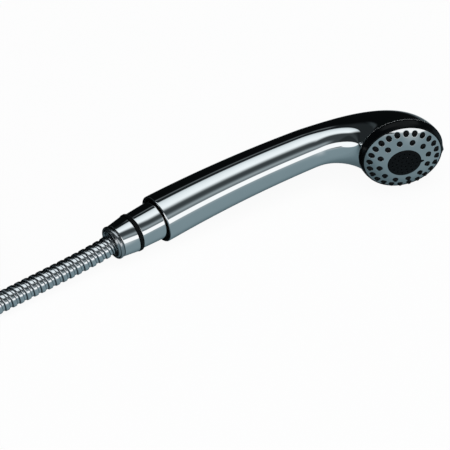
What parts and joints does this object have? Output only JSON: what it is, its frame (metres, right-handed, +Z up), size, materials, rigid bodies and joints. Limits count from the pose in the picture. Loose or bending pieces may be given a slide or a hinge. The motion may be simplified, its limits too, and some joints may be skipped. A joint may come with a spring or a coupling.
{
  "type": "handheld shower head",
  "caption": "Handheld shower head with a bowed chrome handle, a domed spray face in a turning black grip ring, a swivel cone and its wound metal hose with a union nut.",
  "frame": {"origin": "on the ground under the middle of the handset's box, the hose left out", "axes": "+Z up; +X along the handle from the hose to the head; the spray side looks towards -Y, and the handset lies on its side"},
  "size_m": [0.4426, 0.2119, 0.0701],
  "materials": {
    "chrome_plastic": "bright chrome plate on plastic",
    "chrome_brass": "polished",
    "dark_plating": "dark polished",
    "black_plastic": "gloss",
    "black_rubber": "matte",
    "white_plastic": "matte",
    "brass": "satin",
    "steel": "satin",
    "metal_hose": "polished"
  },
  "bodies": {
    "hose": {"hose_tube": "metal_hose", "hose_coil": "metal_hose", "swivel_cap": "chrome_brass", "cap_end_ring": "dark_plating", "hose_ferrule": "steel", "stem_o_ring": "black_rubber", "slide_washer": "white_plastic", "far_ferrule": "steel", "far_stem": "brass", "far_washer": "black_rubber"},
    "handset": {"handle_shell": "chrome_plastic", "water_tube": "white_plastic", "swivel_ring": "black_rubber", "cone_nut": "chrome_brass", "swivel_stem": "brass", "hose_washer": "black_rubber", "inlet_filter": "steel", "tail_bush": "black_plastic", "inlet_nipple": "brass", "flow_limiter": "white_plastic", "centre_plate": "black_plastic", "plate_carrier": "white_plastic", "centre_screw": "steel", "hub_bushing": "white_plastic", "port_seal": "black_rubber", "core_o_ring": "black_rubber", "head_core": "white_plastic", "detent_spring": "steel"},
    "spray_face": {"bezel_ring": "black_plastic", "faceplate": "chrome_plastic", "nozzle_mat": "black_rubber", "spray_chamber": "black_plastic"},
    "click_pin": {"detent_pin": "steel"},
    "union_nut": {"far_nut": "chrome_brass"}
  },
  "joints": [
    {"name": "hose_swivel", "type": "hinge", "parent": "hose", "child": "handset", "pos_m": [-0.09747, 0.02424, 0.01477], "axis": [0.9972, 0, 0.075], "continuous": true},
    {"name": "spray_turn", "type": "hinge", "parent": "handset", "child": "spray_face", "pos_m": [0.08501, -0.02885, 0.0285], "axis": [-0.3784, -0.9252, -0.0285], "range_deg": [-40, 40]},
    {"name": "click_pin_slide", "type": "slide", "parent": "handset", "child": "click_pin", "axis": [-0.3784, -0.9252, -0.0285], "range_m": [-0.0006, 0], "stiffness_N_per_m": 500},
    {"name": "union_nut_spin", "type": "hinge", "parent": "hose", "child": "union_nut", "pos_m": [-0.2735, 0.02424, 0.0562], "axis": [-1, 0, 0], "continuous": true}
  ]
}
